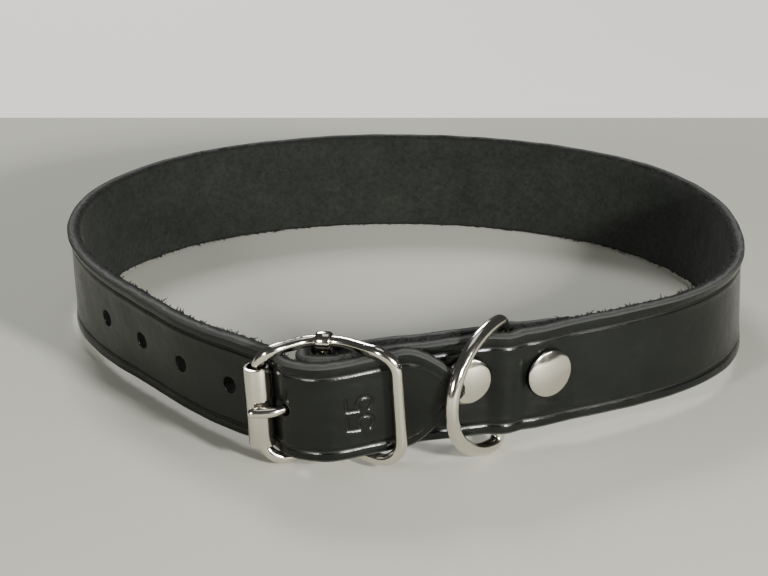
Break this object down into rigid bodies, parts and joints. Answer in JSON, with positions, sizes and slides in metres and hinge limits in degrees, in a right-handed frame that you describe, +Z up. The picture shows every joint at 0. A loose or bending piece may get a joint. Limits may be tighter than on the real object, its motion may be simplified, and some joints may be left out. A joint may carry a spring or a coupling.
{
  "type": "dog collar",
  "caption": "Buckled leather dog collar standing on edge, with a roller buckle, a row of punched holes and a D-ring held in the fold between dome rivets.",
  "frame": {"origin": "middle of the collar's footprint, on the surface that it stands on", "axes": "+Z up, across the strap's width; -Y towards the buckle; +X across the loop, towards the side that the D-ring is on"},
  "size_m": [0.171, 0.1674, 0.0344],
  "materials": {
    "leather": "black, semi-gloss grain side, matt flesh side",
    "nickel": "polished nickel plate on steel"
  },
  "bodies": {
    "collar": {"strap": "leather", "buckle_frame": "nickel", "centre_bar": "nickel", "prong": "nickel", "rivet_front": "nickel", "rivet_rear": "nickel"},
    "ring": {"d_ring": "nickel"},
    "roller": {"roller": "nickel"}
  },
  "joints": [
    {"name": "ring_hinge", "type": "hinge", "parent": "collar", "child": "ring", "pos_m": [0.02242, -0.06531, 0.01712], "axis": [0.0278, 0.0138, 0.9995], "range_deg": [0, 110]},
    {"name": "roller_spin", "type": "hinge", "parent": "collar", "child": "roller", "pos_m": [-0.03379, -0.07565, 0.01558], "axis": [-0.0596, -0.0283, 0.9978], "continuous": true}
  ]
}
